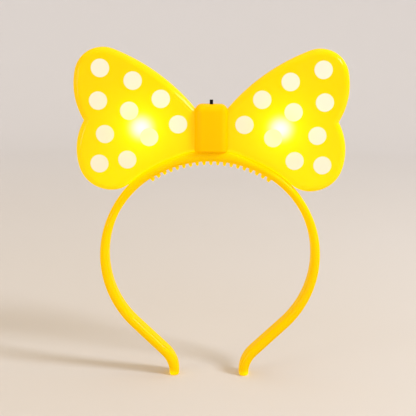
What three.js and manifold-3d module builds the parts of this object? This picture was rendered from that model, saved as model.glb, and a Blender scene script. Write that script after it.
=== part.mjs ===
// Light-up bow headband: a toothed plastic band that carries a hollow two-winged bow with a lamp in each
// wing, a knot over the bow's waist and a slide switch in the knot's roof.
// Millimetres, +Z up, front towards -Y. The origin is on the table, midway between the band's two tips.
import * as THREE from 'three';
import { mergeVertices } from 'three/addons/utils/BufferGeometryUtils.js';
import { RoundedBoxGeometry } from 'three/addons/geometries/RoundedBoxGeometry.js';
import Module from 'manifold-3d';

const wasm = await Module();
wasm.setup();

// Clearance between neighbouring pieces
const GAP = 0.3;

// Headband: half of its centreline, from the crown down to a tip. Turns are in degrees, to the left positive.
const BAND = { width: 12, endPoints: 5, tipRounding: 1.6, tipSteps: 3 };
const BAND_STRETCHES = [
  { part: 'crown', radius: 69.4, turn: -31, steps: 8, thickFrom: 5.3, thickTo: 5.2 },
  { part: 'upper temple', radius: 60, turn: -30, steps: 7, thickFrom: 5.2, thickTo: 5.1 },
  { part: 'lower temple', radius: 60, turn: -75, steps: 16, thickFrom: 5.1, thickTo: 5.8 },
  { part: 'leg', length: 26.4, turn: 0, steps: 3, thickFrom: 5.8, thickTo: 6 },
  { part: 'tip', radius: 18.85, turn: 46, steps: 7, thickFrom: 6, thickTo: 6 },
];

// Pad that makes the crown thicker on top, under the bow
const PAD = { rise: 1.7, reach: 20 };

// Comb teeth, spread evenly under the crown
const TEETH = { count: 19, spread: 64.6, length: 2.4, depth: 5, sunk: 0.8 };
const TOOTH = { rootWidth: 2.3, tipWidth: 1.8, tipSteps: 4 };

// Wing: outline of one half of the bow from its root on the band round to its root at the top
const WING = { rootX: 7.2, rootSteps: 4, wall: 1.5 };
const [CROWN] = BAND_STRETCHES;
const SEAT_RADIUS = CROWN.radius + CROWN.thickFrom / 2 + GAP;
const SEAT = { startAngle: 7.6, leadRadius: 8, land: 3.4, fade: 6 };
const WING_STRETCHES = [
  { part: 'root lead', radius: SEAT.leadRadius, turn: -SEAT.startAngle, steps: 1, onBand: true },
  { part: 'seat on the band', radius: SEAT_RADIUS, turn: -34.1, steps: 8, onBand: true },
  { part: 'lower lobe', radius: 19.3, turn: 114.2, steps: 12 },
  { part: 'lower flank', radius: 36, turn: 46.2, steps: 6 },
  { part: 'notch', radius: 0.8, turn: -59, steps: 3 },
  { part: 'upper flank', radius: 41.3, turn: 42.4, steps: 6 },
  { part: 'upper lobe', radius: 17, turn: 98.9, steps: 11 },
  { part: 'upper edge', radius: 119.5, turn: 29, steps: 8 },
  { part: 'root bend', radius: 0.6, turn: -50, steps: 1 },
];

// Wing thickness from the parting line up: a land that is wider on the band, a round shoulder that is pinched
// towards the knot and a soft swell about the middle. On the bow, up counts from the crown without its pad.
const PUFF = { land: 2, shoulderWidth: 4, shoulderRise: 4 };
const SWELL = { high: 2, x: 48, up: 17.4, spread: 30 };
const PINCH = { share: 0.4, reach: 22 };
const OUTER_SKIN = { wall: 0, shoulderSteps: 4, faceSteps: 3 };
const INNER_SKIN = { wall: WING.wall, shoulderSteps: 2, faceSteps: 2 };

// Knot: a cap over the necks of the wings that sits astride the crown's pad
const KNOT = { width: 19.9, depth: 17.6, high: 28.4, up: 0.5, rounding: 4.6, roundSteps: 3 };
const KNOT_CUT = { overrun: 1, steps: 6 };

// Slide switch: a nub on a foot that runs between the post's top and the knot's roof
const SWITCH = { nubWide: 2, nubAbove: 2.6, travel: 2, footWide: 4, footHigh: 1.2 };

// Hidden post on the crown, between the ends of the two necks
const POST = { depth: 7, sunk: 2 };

// Lamps: 5 mm domes that face the front, each on a boss of the back shell
const LED = { radius: 2.5, flangeRadius: 2.9, flangeHigh: 1, height: 8.6, sides: 12, domeSteps: 4 };
const LED_PLACE = { x: 41.5, up: 15.2, baseY: 2.5 };
const LED_BOSS = { radius: 4, embedded: 0.8, sides: 12 };

// Dots on a front shell, from the upper lobe to the lower one
const DOT = { radius: 5.4, thickness: 0.4, sides: 16 };
const DOT_PLACES = [
  { x: 65.7, up: 50 },
  { x: 46.5, up: 42.8 },
  { x: 30, up: 32.2 },
  { x: 67, up: 30.9 },
  { x: 48.6, up: 25.1 },
  { x: 19.8, up: 17.2 },
  { x: 63.1, up: 11.2 },
  { x: 36.9, up: 9.6 },
  { x: 50, up: -4 },
  { x: 66.7, up: -6.6 },
];

const FINISH = {
  band: { color: 0xffd600, roughness: 0.3, metalness: 0 },
  wing: { color: 0xffde00, roughness: 0.35, metalness: 0 },
  knot: { color: 0xffc100, roughness: 0.35, metalness: 0 },
  nub: { color: 0x141414, roughness: 0.5, metalness: 0 },
  lamp: { color: 0xfff6d8, roughness: 0.15, metalness: 0 },
  dot: { color: 0xfff3dc, roughness: 0.5, metalness: 0 },
};
const SIDES = [
  { name: 'left', sign: -1 },
  { name: 'right', sign: 1 },
];
const FRONT = -1;
const BACK = 1;
const radians = THREE.MathUtils.degToRad;

// Stations along a chain of arcs and straights in the XZ plane, with the heading at each in radians
function walk(start, stretches) {
  const stations = [{ ...start, stretch: stretches[0], share: 0 }];
  let { x, z, heading } = start;
  for (const stretch of stretches) {
    const step = radians(stretch.turn) / stretch.steps;
    const chord = step ? 2 * stretch.radius * Math.sin(Math.abs(step) / 2) : stretch.length / stretch.steps;
    for (let i = 1; i <= stretch.steps; i++) {
      x += chord * Math.cos(heading + step / 2);
      z += chord * Math.sin(heading + step / 2);
      heading += step;
      stations.push({ x, z, heading, stretch, share: i / stretch.steps });
    }
  }
  return stations;
}

// The unit vector to the left of a station's heading
function leftOf({ heading }) {
  return { x: -Math.sin(heading), z: Math.cos(heading) };
}

// A closed skin through rings of equally many points, with a fan about a pole at each end
function loft(rings, firstPole, lastPole) {
  const count = rings[0].length;
  const points = [...rings.flat(), firstPole, lastPole];
  const first = points.length - 2;
  const last = points.length - 1;
  const triangles = [];
  rings.forEach((ring, r) => {
    ring.forEach((_, i) => {
      const a = r * count + i;
      const b = r * count + ((i + 1) % count);
      if (r === 0) triangles.push(first, b, a);
      if (r === rings.length - 1) triangles.push(last, a, b);
      else triangles.push(a, b, b + count, a, b + count, a + count);
    });
  });
  const signedVolume = triangles.reduce((sum, _, t) => {
    if (t % 3) return sum;
    const [p, q, s] = triangles.slice(t, t + 3).map((index) => points[index]);
    return sum + p.dot(new THREE.Vector3().crossVectors(q, s));
  }, 0);
  if (signedVolume < 0) triangles.reverse();
  return new THREE.BufferGeometry().setFromPoints(points).setIndex(triangles);
}

// A closed geometry as a solid that can be joined and cut
function solid(geometry) {
  const bare = geometry.clone();
  bare.deleteAttribute('normal');
  bare.deleteAttribute('uv');
  const merged = mergeVertices(bare);
  const vertProperties = new Float32Array(merged.attributes.position.array);
  const triVerts = new Uint32Array(merged.index.array);
  return new wasm.Manifold(new wasm.Mesh({ numProp: 3, vertProperties, triVerts }));
}

function geometryOf(body) {
  const { vertProperties, triVerts } = body.getMesh();
  const geometry = new THREE.BufferGeometry();
  geometry.setAttribute('position', new THREE.BufferAttribute(vertProperties, 3));
  geometry.setIndex(new THREE.BufferAttribute(triVerts, 1));
  return geometry;
}

function piece(name, geometry, finish) {
  geometry.computeVertexNormals();
  const mesh = new THREE.Mesh(geometry, new THREE.MeshStandardMaterial(finish));
  mesh.name = name;
  return mesh;
}

// The band's centreline from the crown to the right tip, set so that the tip's rounding ends on the table
function bandCentreline() {
  const stations = walk({ x: 0, z: 0, heading: 0 }, BAND_STRETCHES);
  const lift = BAND.tipRounding - stations.at(-1).z;
  return stations.map((station) => ({ ...station, z: station.z + lift }));
}

const CENTRELINE = bandCentreline();
const CROWN_CENTRE = CENTRELINE[0].z - CROWN.radius;
const BAND_TOP = CENTRELINE[0].z + CROWN.thickFrom / 2;
const LED_Z = BAND_TOP + LED_PLACE.up;
const SWELL_Z = BAND_TOP + SWELL.up;
const KNOT_BOTTOM = BAND_TOP + KNOT.up;
const KNOT_TOP = KNOT_BOTTOM + KNOT.high;

// How far the pad lifts the crown's top at a distance from the middle
function padAt(x) {
  return PAD.rise * Math.exp(-((x / PAD.reach) ** 4));
}

// The band's section at a station: straight faces and fully round edges, drawn in by an inset all round
function bandRing(station, sign, inset) {
  const { thickFrom, thickTo } = station.stretch;
  const pad = station.stretch === CROWN ? padAt(station.x) : 0;
  const radius = (THREE.MathUtils.lerp(thickFrom, thickTo, station.share) + pad) / 2 - inset;
  const reach = BAND.width / 2 - inset - radius;
  const out = leftOf(station);
  const ring = [];
  for (const edge of [1, -1]) {
    for (let i = 0; i < BAND.endPoints; i++) {
      const angle = edge * Math.PI * (i / (BAND.endPoints - 1) - 0.5);
      const u = pad / 2 + radius * Math.sin(angle);
      const y = edge * (reach + radius * Math.cos(angle));
      ring.push(new THREE.Vector3(sign * (station.x + out.x * u), y, station.z + out.z * u));
    }
  }
  return ring;
}

// Rings of one half of the band from the crown out, ending with the rounding of its flat tip
function halfBandRings(sign, margin) {
  const rings = CENTRELINE.map((station) => bandRing(station, sign, -margin));
  for (let i = 1; i <= BAND.tipSteps; i++) {
    const angle = ((Math.PI / 2) * i) / BAND.tipSteps;
    const end = { ...CENTRELINE.at(-1), z: BAND.tipRounding * (1 - Math.sin(angle)) };
    rings.push(bandRing(end, sign, BAND.tipRounding * (1 - Math.cos(angle)) - margin));
  }
  return rings;
}

// The band without its teeth, grown sideways by a margin
function bandBody(margin) {
  const right = halfBandRings(1, margin);
  const left = halfBandRings(-1, margin).slice(1).reverse();
  const foot = CENTRELINE.at(-1).x;
  return solid(loft([...left, ...right], new THREE.Vector3(-foot, 0, 0), new THREE.Vector3(foot, 0, 0)));
}

// One comb tooth with a round tip, pointing from the crown to the head, at an angle from the middle
function tooth(angle) {
  const { length, depth, sunk } = TEETH;
  const { rootWidth, tipWidth, tipSteps: curveSegments } = TOOTH;
  const tipRadius = tipWidth / 2;
  const outline = new THREE.Shape();
  outline.moveTo(rootWidth / 2, sunk);
  outline.lineTo(-rootWidth / 2, sunk);
  outline.lineTo(-tipRadius, tipRadius - length);
  outline.absarc(0, tipRadius - length, tipRadius, Math.PI, 2 * Math.PI);
  const geometry = new THREE.ExtrudeGeometry(outline, { depth, bevelEnabled: false, curveSegments });
  const innerRadius = CROWN.radius - CROWN.thickFrom / 2;
  return geometry
    .rotateX(Math.PI / 2)
    .translate(0, depth / 2, innerRadius)
    .rotateY(angle)
    .translate(0, 0, CROWN_CENTRE);
}

function headband() {
  let body = bandBody(0);
  for (let i = 0; i < TEETH.count; i++) {
    body = body.add(solid(tooth(radians(TEETH.spread) * (i / (TEETH.count - 1) - 0.5))));
  }
  const base = BAND_TOP - POST.sunk;
  const post = new THREE.BoxGeometry(2 * (WING.rootX - GAP), POST.depth, POST_TOP - base);
  return geometryOf(body.add(solid(post.translate(0, 0, (POST_TOP + base) / 2))));
}

// The wing's outline in the XZ plane, closed by its flat root inside the knot
function wingOutline() {
  const lead = radians(SEAT.startAngle);
  const rootZ = CROWN_CENTRE + SEAT_RADIUS * Math.cos(lead) + SEAT.leadRadius * (1 - Math.cos(lead));
  const length = (SEAT_RADIUS - SEAT.leadRadius) * Math.sin(lead) - WING.rootX;
  const underside = { part: 'root underside', length, turn: 0, steps: 1, onBand: true };
  const flat = walk({ x: WING.rootX, z: rootZ, heading: 0 }, [underside, ...WING_STRETCHES]);
  const stations = flat.map((station) => {
    const lift = station.stretch.onBand ? padAt(station.x) : 0;
    return { ...station, z: station.z + lift };
  });
  return [...stations, { ...stations.at(-1), x: WING.rootX }];
}

// How far a wing's face stands out from the parting plane at a place
function faceAt(x, z) {
  const away = Math.hypot(x - SWELL.x, z - SWELL_Z) / SWELL.spread;
  const near = x / PINCH.reach;
  const rise = PUFF.shoulderRise * (1 - PINCH.share * Math.exp(-near * near));
  return PUFF.land + rise + SWELL.high * Math.exp(-away * away);
}

// How far the land stands out from the parting plane at a place, further where the wing sits on the band
function landAt(x, z) {
  const away = (Math.hypot(x, z - CROWN_CENTRE) - SEAT_RADIUS - padAt(x)) / SEAT.fade;
  return PUFF.land + (SEAT.land - PUFF.land) * Math.exp(-away * away);
}

const OUTLINE = wingOutline();
const NECK = { bottom: OUTLINE[0].z, top: OUTLINE.at(-1).z };
const POST_TOP = NECK.top - SWITCH.footHigh - GAP;

// One skin of a wing half: rings from the parting line in over the shoulder and across the face, and its pole
function wingSkin({ wall, shoulderSteps, faceSteps }, side, face) {
  const rootX = WING.rootX + wall;
  const place = (x, z, share) => {
    const kept = Math.max(x, rootX);
    const y = THREE.MathUtils.lerp(landAt(kept, z), faceAt(kept, z) - wall, share);
    return new THREE.Vector3(side * kept, face * y, z);
  };
  const drawnIn = (inset, share) => {
    const ring = OUTLINE.map((station) => {
      const inward = leftOf(station);
      return place(station.x + inward.x * inset, station.z + inward.z * inset, share);
    });
    const [first, last] = [ring[0], ring.at(-1)];
    for (let i = 1; i < WING.rootSteps; i++) ring.push(last.clone().lerp(first, i / WING.rootSteps));
    return ring;
  };
  const rings = [drawnIn(wall, 0).map((point) => point.setY((face * GAP) / 2))];
  for (let i = 0; i <= shoulderSteps; i++) {
    const angle = ((Math.PI / 2) * i) / shoulderSteps;
    rings.push(drawnIn(wall + PUFF.shoulderWidth * (1 - Math.cos(angle)), Math.sin(angle)));
  }
  const rim = rings.at(-1);
  for (let i = 1; i < faceSteps; i++) {
    const towards = (from, to) => THREE.MathUtils.lerp(from, to, i / faceSteps);
    rings.push(rim.map(({ x, z }) => place(towards(side * x, SWELL.x), towards(z, SWELL_Z), 1)));
  }
  return { rings, pole: place(SWELL.x, SWELL_Z, 1) };
}

function wingHalf(side, face) {
  const outer = wingSkin(OUTER_SKIN, side, face);
  const inner = wingSkin(INNER_SKIN, side, face);
  return loft([...outer.rings.reverse(), ...inner.rings], outer.pole, inner.pole);
}

// A round boss from a back shell's inner wall to just short of the lamp's base
function lampBoss(side) {
  const start = LED_PLACE.baseY + GAP;
  const end = faceAt(LED_PLACE.x, LED_Z) - WING.wall + LED_BOSS.embedded;
  const boss = new THREE.CylinderGeometry(LED_BOSS.radius, LED_BOSS.radius, end - start, LED_BOSS.sides);
  return boss.translate(side * LED_PLACE.x, (start + end) / 2, LED_Z);
}

function lamp() {
  const { radius, flangeRadius, flangeHigh, height, sides, domeSteps } = LED;
  const shoulder = height - radius;
  const profile = [
    new THREE.Vector2(0, 0),
    new THREE.Vector2(flangeRadius, 0),
    new THREE.Vector2(flangeRadius, flangeHigh),
    new THREE.Vector2(radius, flangeHigh),
    ...new THREE.EllipseCurve(0, shoulder, radius, radius, 0, Math.PI / 2).getPoints(domeSteps),
  ];
  profile.at(-1).setX(0);
  return new THREE.LatheGeometry(profile, sides);
}

// The section of a wing's neck, with clearance all round, as a cut through the knot along X
function neckCut() {
  const half = faceAt(KNOT.width / 2, SWELL_Z) + GAP;
  const top = NECK.top - PUFF.shoulderWidth;
  const bottom = NECK.bottom + PUFF.shoulderWidth;
  const corners = [
    { y: PUFF.land, z: top },
    { y: -PUFF.land, z: top },
    { y: -SEAT.land, z: bottom },
    { y: SEAT.land, z: bottom },
  ];
  const quarter = Math.PI / 2;
  const outline = new THREE.Shape();
  corners.forEach(({ y, z }, i) => {
    const wide = half - Math.abs(y);
    outline.absellipse(y, z, wide, PUFF.shoulderWidth + GAP, i * quarter, (i + 1) * quarter);
  });
  const depth = KNOT.width + 2 * KNOT_CUT.overrun;
  const cut = new THREE.ExtrudeGeometry(outline, { depth, bevelEnabled: false, curveSegments: KNOT_CUT.steps });
  return cut.rotateX(quarter).rotateZ(quarter).translate(-depth / 2, 0, 0);
}

function knot() {
  const shell = new RoundedBoxGeometry(KNOT.width, KNOT.depth, KNOT.high, KNOT.roundSteps, KNOT.rounding);
  shell.translate(0, 0, (KNOT_TOP + KNOT_BOTTOM) / 2);
  const slotHigh = 2 * (KNOT_TOP - NECK.top);
  const slotWide = SWITCH.nubWide + 2 * GAP;
  const slot = new THREE.BoxGeometry(slotWide, slotWide + SWITCH.travel, slotHigh);
  slot.translate(0, 0, KNOT_TOP);
  const cap = solid(shell).subtract(solid(neckCut())).subtract(solid(slot));
  return geometryOf(cap.subtract(bandBody(GAP)));
}

// The nub on its foot, in its lit place at the back end of the slot
function switchNub() {
  const { nubWide, nubAbove, footWide, footHigh, travel } = SWITCH;
  const footTop = NECK.top;
  const nubTop = KNOT_TOP + nubAbove;
  const nubHigh = nubTop - footTop + footHigh;
  const foot = new THREE.BoxGeometry(footWide, footWide, footHigh).translate(0, 0, footTop - footHigh / 2);
  const nub = new THREE.BoxGeometry(nubWide, nubWide, nubHigh).translate(0, 0, nubTop - nubHigh / 2);
  return geometryOf(solid(foot).add(solid(nub)).translate([0, travel / 2, 0]));
}

// A thin dot laid on a front shell where a line from the front meets it
function dot(name, shell, x, z) {
  const ray = new THREE.Raycaster(new THREE.Vector3(x, FRONT * KNOT.depth, z), new THREE.Vector3(0, -FRONT, 0));
  const [hit] = ray.intersectObject(shell);
  const round = new THREE.CylinderGeometry(DOT.radius, DOT.radius, DOT.thickness, DOT.sides);
  const disc = piece(name, round, FINISH.dot);
  disc.quaternion.setFromUnitVectors(new THREE.Vector3(0, 1, 0), hit.face.normal);
  disc.position.copy(hit.point).addScaledVector(hit.face.normal, GAP + DOT.thickness / 2);
  return disc;
}

function wing({ name, sign }) {
  const group = new THREE.Group();
  const front = piece(`wing_${name}_front`, wingHalf(sign, FRONT), FINISH.wing);
  const backShell = solid(wingHalf(sign, BACK)).add(solid(lampBoss(sign)));
  const back = piece(`wing_${name}_back`, geometryOf(backShell), FINISH.wing);
  const led = piece(`led_${name}`, lamp(), FINISH.lamp);
  led.position.set(sign * LED_PLACE.x, LED_PLACE.baseY, LED_Z);
  led.rotation.x = Math.PI;
  const dots = DOT_PLACES.map(({ x, up }, i) => {
    const number = String(i + 1).padStart(2, '0');
    return dot(`dot_${name}_${number}`, front, sign * x, BAND_TOP + up);
  });
  return group.add(front, back, led, ...dots);
}

const bow = new THREE.Group();
bow.add(...SIDES.map(wing), piece('knot', knot(), FINISH.knot), piece('switch_nub', switchNub(), FINISH.nub));

const model = new THREE.Group();
model.add(piece('headband', headband(), FINISH.band), bow);

export default model;
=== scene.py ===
"""Looks of a light-up bow headband: smooth mouldings, finishes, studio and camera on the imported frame.

Metres, +Z up, front towards -Y. The origin is on the table, midway between the band's two tips.
"""
import functools
import logging
import math
from dataclasses import dataclass, field
from enum import Enum
from typing import Any, Iterable

import bmesh
import bpy
from bmesh.types import BMEdge, BMesh, BMFace, BMVert
from bpy.types import Material, Node, NodeSocket, Object
from mathutils import Matrix, Vector
from mathutils.bvhtree import BVHTree

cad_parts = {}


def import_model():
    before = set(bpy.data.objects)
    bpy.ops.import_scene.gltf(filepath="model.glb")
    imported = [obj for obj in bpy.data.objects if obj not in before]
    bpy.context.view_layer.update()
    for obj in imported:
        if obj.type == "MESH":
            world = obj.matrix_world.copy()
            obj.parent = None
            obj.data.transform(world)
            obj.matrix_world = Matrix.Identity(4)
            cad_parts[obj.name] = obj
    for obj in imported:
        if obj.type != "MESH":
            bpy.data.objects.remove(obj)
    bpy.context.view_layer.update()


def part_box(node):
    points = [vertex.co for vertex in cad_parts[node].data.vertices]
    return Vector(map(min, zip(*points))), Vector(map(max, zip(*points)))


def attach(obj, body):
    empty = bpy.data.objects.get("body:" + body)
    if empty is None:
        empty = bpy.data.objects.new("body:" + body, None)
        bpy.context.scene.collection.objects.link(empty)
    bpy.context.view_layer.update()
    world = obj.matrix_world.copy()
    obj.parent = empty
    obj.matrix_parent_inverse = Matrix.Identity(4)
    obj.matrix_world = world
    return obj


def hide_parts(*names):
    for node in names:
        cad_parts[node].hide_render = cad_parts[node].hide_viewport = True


LOG = logging.getLogger("bow_headband")
ORIGIN = (0.0, 0.0, 0.0)
TO_RIGHT = (1.0, 0.0, 0.0)
TO_FRONT = (0.0, -1.0, 0.0)
TO_BACK = (0.0, 1.0, 0.0)
UPWARDS = (0.0, 0.0, 1.0)
MM = 0.001
# Gap between a lamp and its boss, and distance within which vertices become one
GAP = 0.3 * MM
WELD = 0.001 * MM
# Bend in radians past which an edge gets a rounding, and angle in degrees past which it is shaded sharp
CRISP_BEND = 1.0
SMOOTH_ANGLE = 38.0
# Faces across a small rounding
FEW_SEGMENTS = 2
# Mean value of noise, and power by which the crown's pad falls off from the middle
NOISE_MEAN = 0.5
PAD_FALL = 4.0

Triple = tuple[float, float, float]
Colour = Triple


class Side(Enum):
    """The two wings as seen from the front, with the sign of X on each."""

    LEFT = -1
    RIGHT = 1

    @property
    def label(self) -> str:
        """The side as it is in the names of pieces."""
        return self.name.lower()


class Face(Enum):
    """The two halves of a wing, with the sign that Y has on each."""

    FRONT = -1
    BACK = 1


class Body(Enum):
    """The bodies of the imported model."""

    HEADBAND = "headband"
    SWITCH = "switch"


class Slot(Enum):
    """The record's material slots."""

    BAND = "band_yellow"
    WING = "wing_yellow"
    KNOT = "knot_amber"
    SWITCH = "switch_black"
    LAMP = "lamp_clear"
    DOT = "dot_cream"


class Number:
    """A float socket on which arithmetic adds Math nodes to its sheet."""

    def __init__(self, sheet: "ShaderSheet", socket: NodeSocket) -> None:
        """Wraps a socket of a sheet."""
        self.sheet = sheet
        self.socket = socket

    def _math(self, operation: str, *terms: "Number | float") -> "Number":
        """Adds one Math node.

        Args:
            operation: The Math node's operation.
            terms: Its inputs, in order.

        Returns:
            The node's result.
        """
        node = self.sheet.node("ShaderNodeMath", {"operation": operation}, dict(enumerate(terms)))
        return Number(self.sheet, node.outputs[0])

    def __add__(self, other: "Number | float") -> "Number":
        """Sum of two values."""
        return self._math("ADD", self, other)

    def __radd__(self, other: float) -> "Number":
        """Sum with a plain number on the left."""
        return self._math("ADD", other, self)

    def __sub__(self, other: "Number | float") -> "Number":
        """Difference of two values."""
        return self._math("SUBTRACT", self, other)

    def __rsub__(self, other: float) -> "Number":
        """Difference from a plain number."""
        return self._math("SUBTRACT", other, self)

    def __mul__(self, other: "Number | float") -> "Number":
        """Product of two values."""
        return self._math("MULTIPLY", self, other)

    def __rmul__(self, other: float) -> "Number":
        """Product with a plain number on the left."""
        return self._math("MULTIPLY", other, self)

    def __truediv__(self, other: "Number | float") -> "Number":
        """Quotient of two values."""
        return self._math("DIVIDE", self, other)

    def __pow__(self, other: "Number | float") -> "Number":
        """This value to a power."""
        return self._math("POWER", self, other)

    def __rpow__(self, other: float) -> "Number":
        """A plain number to the power of this value."""
        return self._math("POWER", other, self)

    def __abs__(self) -> "Number":
        """Size of the value without its sign."""
        return self._math("ABSOLUTE", self)

    def capped(self) -> "Number":
        """The value, held to at most 1."""
        return self._math("MINIMUM", self, 1.0)

    def over(self) -> "Number":
        """The value, held to at least 0."""
        return self._math("MAXIMUM", self, 0.0)

    def spread(self, span: float) -> "Number":
        """A noise value, moved to lie about zero and scaled to a span."""
        return (self - NOISE_MEAN) * span

    def hypot(self, other: "Number") -> "Number":
        """Distance from zero of two values at right angles."""
        return (self * self + other * other) ** 0.5

    def bell(self) -> "Number":
        """A bell curve of the value: 1 in the middle, 1/e at 1 and -1."""
        return math.e ** (self * self * -1.0)


class ShaderSheet:
    """The node tree of one material, with its Principled shader and the piece's Object coordinates."""

    def __init__(self, name: str) -> None:
        """Starts a material of that name."""
        self.material = bpy.data.materials.new(name)
        self.material.use_nodes = True
        self.tree = self.material.node_tree
        self.shader = self.tree.nodes["Principled BSDF"]
        self.place = self.node("ShaderNodeTexCoord").outputs["Object"]
        apart = self.node("ShaderNodeSeparateXYZ", None, {0: self.place})
        self.sideways, self.across, self.up = (Number(self, output) for output in apart.outputs)

    def node(
        self, kind: str, settings: dict[str, Any] | None = None, sockets: dict[Any, Any] | None = None
    ) -> Node:
        """Adds a node.

        Args:
            kind: The node's type.
            settings: Its properties, such as an operation, which are set first.
            sockets: Values or links of its inputs, by name or number.

        Returns:
            The node.
        """
        node = self.tree.nodes.new(kind)
        for name, value in (settings or {}).items():
            setattr(node, name, value)
        self.feed(node, sockets or {})
        return node

    def feed(self, node: Node, sockets: dict[Any, Any]) -> None:
        """Sets or links a node's inputs.

        Args:
            node: The node to feed.
            sockets: Numbers, colours, vectors or outputs, by the input's name or number.
        """
        for key, value in sockets.items():
            target = node.inputs[key]
            source = value.socket if isinstance(value, Number) else value
            if isinstance(source, NodeSocket):
                self.tree.links.new(source, target)
            elif target.type == "RGBA":
                target.default_value = (*source, 1.0)
            else:
                target.default_value = source

    def set(self, **sockets: Any) -> None:
        """Sets or links the Principled shader's inputs, with underscores for spaces in their names."""
        self.feed(self.shader, {name.replace("_", " "): value for name, value in sockets.items()})

    def noise(self, grain: float, detail: float = 2.0, stretch: Triple = (1.0, 1.0, 1.0)) -> Number:
        """Adds soft noise on the Object coordinates.

        Args:
            grain: Size of its blotches in metres.
            detail: Octaves of finer noise.
            stretch: How many times closer the blotches lie along each axis.

        Returns:
            A value about 0.5.
        """
        mapping = self.node("ShaderNodeMapping", None, {"Vector": self.place, "Scale": stretch})
        sockets = {"Vector": mapping.outputs[0], "Scale": 1 / grain, "Detail": detail}
        return Number(self, self.node("ShaderNodeTexNoise", None, sockets).outputs[0])

    def mix(self, share: Number, first: Any, second: Any) -> NodeSocket:
        """Mixes two colours.

        Args:
            share: How much of the second colour shows.
            first: A colour or a colour output.
            second: A colour or a colour output.

        Returns:
            The mixed colour.
        """
        node = self.node("ShaderNodeMix", {"data_type": "RGBA"}, {0: share, 6: first, 7: second})
        return node.outputs[2]

    def tinted(self, strength: Number, colour: Colour) -> NodeSocket:
        """A colour scaled by a value."""
        sockets = {0: colour, "Scale": strength}
        return self.node("ShaderNodeVectorMath", {"operation": "SCALE"}, sockets).outputs[0]

    def added(self, first: NodeSocket, second: NodeSocket) -> NodeSocket:
        """The sum of two colours."""
        return self.node("ShaderNodeVectorMath", {"operation": "ADD"}, {0: first, 1: second}).outputs[0]

    def bump(self, height: Number, depth: float) -> NodeSocket:
        """Turns a height value into a normal.

        Args:
            height: Height between 0 and 1.
            depth: Real depth of the relief in metres.

        Returns:
            The normal.
        """
        sockets = {"Strength": 1.0, "Distance": depth, "Height": height}
        return self.node("ShaderNodeBump", None, sockets).outputs[0]


@dataclass(frozen=True)
class LampGlow:
    """Light of a lamp that shows through a shell, by the distance from its chip. Both wings share it.

    Attributes:
        chip: Where the light comes from in the right wing.
        core_reach: Distance over which the white core fades.
        core: Strength of the white core at the chip.
        core_fall: Power by which the core falls off, higher for a flatter middle.
        halo_reach: Distance over which the yellow halo fades.
        halo: Strength of the yellow halo at the chip.
        pool_offset: Middle of the light that gathers in the lower lobe, from the chip.
        pool_reach: Distance over which that pool fades.
        pool: Strength of the pool at its middle.
        core_colour: Colour of the core.
        halo_colour: Colour of the halo.
        pool_colour: Colour of the pool.
    """

    chip: Vector
    core_reach: float = 6.86 * MM
    core: float = 1.2
    core_fall: float = 3.5
    halo_reach: float = 10.2 * MM
    halo: float = 0.9
    pool_offset: Vector = field(default_factory=lambda: Vector((16 * MM, 0.0, -40 * MM)))
    pool_reach: float = 30 * MM
    pool: float = 0.14
    core_colour: Colour = (1.0, 1.0, 1.0)
    halo_colour: Colour = (1.0, 1.0, 0.0)
    pool_colour: Colour = (1.0, 1.0, 0.0)

    @staticmethod
    def away(sheet: ShaderSheet, point: Vector) -> Number:
        """Distance over a piece from a point of the right wing or from its mirror image, in metres.

        Args:
            sheet: The material's sheet.
            point: The point in the right wing.

        Returns:
            The distance.
        """
        mirrored = {0: abs(sheet.sideways), 1: sheet.across, 2: sheet.up}
        place = sheet.node("ShaderNodeCombineXYZ", None, mirrored).outputs[0]
        distance = sheet.node("ShaderNodeVectorMath", {"operation": "DISTANCE"}, {0: place, 1: point})
        return Number(sheet, distance.outputs[1])

    def halo_at(self, sheet: ShaderSheet) -> Number:
        """Strength of the halo over a piece."""
        return self.halo * math.e ** (self.away(sheet, self.chip) / -self.halo_reach)

    def core_at(self, sheet: ShaderSheet) -> Number:
        """Strength of the white core over a piece."""
        share = self.away(sheet, self.chip) / self.core_reach
        return self.core * math.e ** (share ** self.core_fall * -1.0)

    def pool_at(self, sheet: ShaderSheet) -> Number:
        """Strength of the light that gathers in the lower lobe over a piece."""
        share = self.away(sheet, self.chip + self.pool_offset) / self.pool_reach
        return self.pool * share.bell()

    def colour(self, sheet: ShaderSheet) -> NodeSocket:
        """The glow's whole colour over a piece."""
        core = sheet.tinted(self.core_at(sheet), self.core_colour)
        halo = sheet.tinted(self.halo_at(sheet), self.halo_colour)
        pool = sheet.tinted(self.pool_at(sheet), self.pool_colour)
        return sheet.added(sheet.added(core, halo), pool)


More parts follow.
